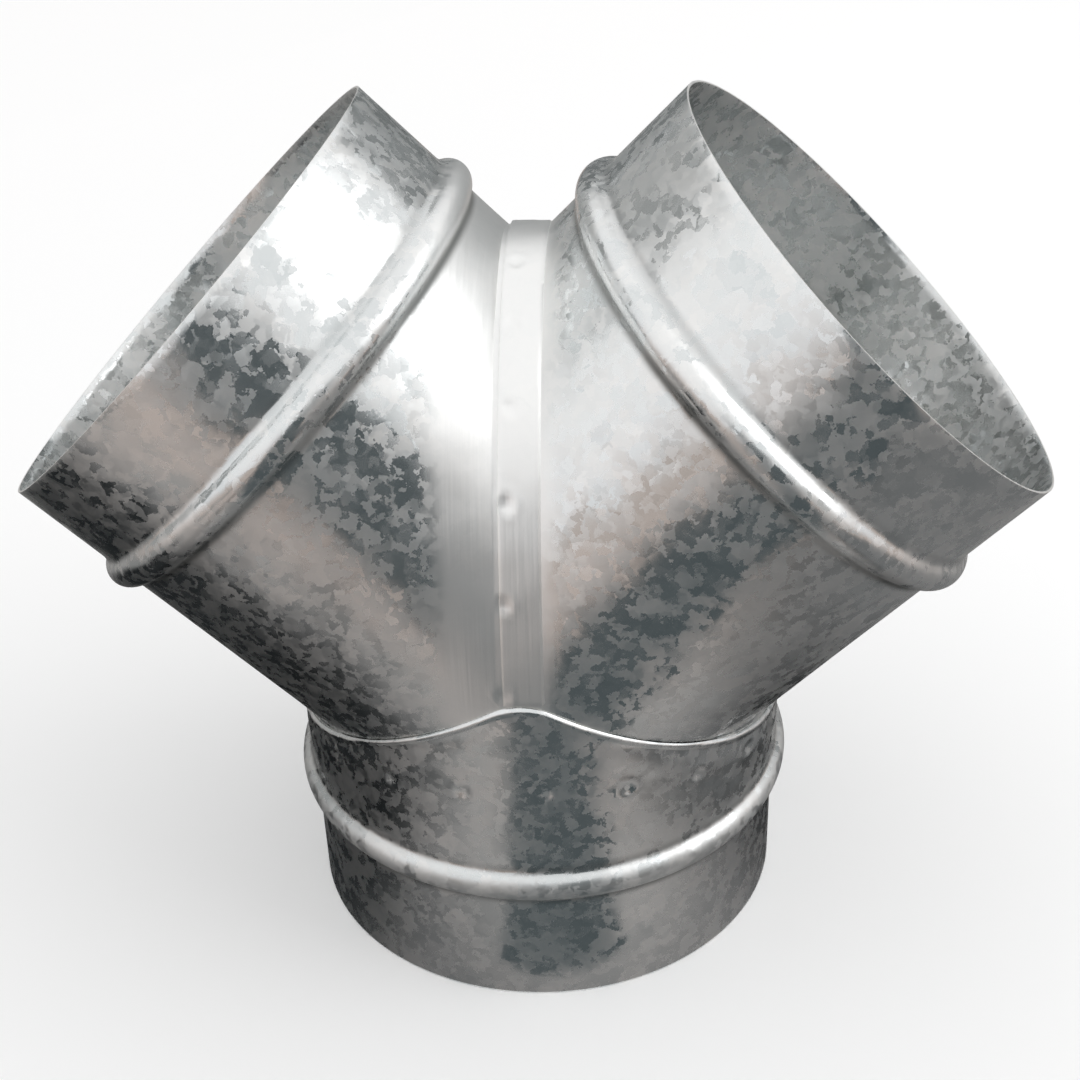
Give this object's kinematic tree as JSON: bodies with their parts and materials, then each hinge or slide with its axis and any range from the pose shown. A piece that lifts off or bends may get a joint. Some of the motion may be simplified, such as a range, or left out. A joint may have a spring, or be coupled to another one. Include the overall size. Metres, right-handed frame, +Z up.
{
  "type": "duct y branch",
  "caption": "Galvanised sheet-steel Y branch for round duct: a trunk spigot divides into mitred branch spigots at a right angle, every spigot with a rolled stop bead",
  "frame": {"origin": "centre of the trunk's lower rim, which it stands on", "axes": "+Z up along the trunk's axis, +X toward the right branch, -Y the side the picture shows"},
  "size_m": [0.3012, 0.158, 0.2537],
  "materials": {
    "galvanised_sheet": "hot-dip galvanised, spangled, rubbed along the crotch seam"
  },
  "bodies": {
    "root": {"left_branch": "galvanised_sheet", "right_branch": "galvanised_sheet", "trunk_collar": "galvanised_sheet"}
  },
  "joints": []
}
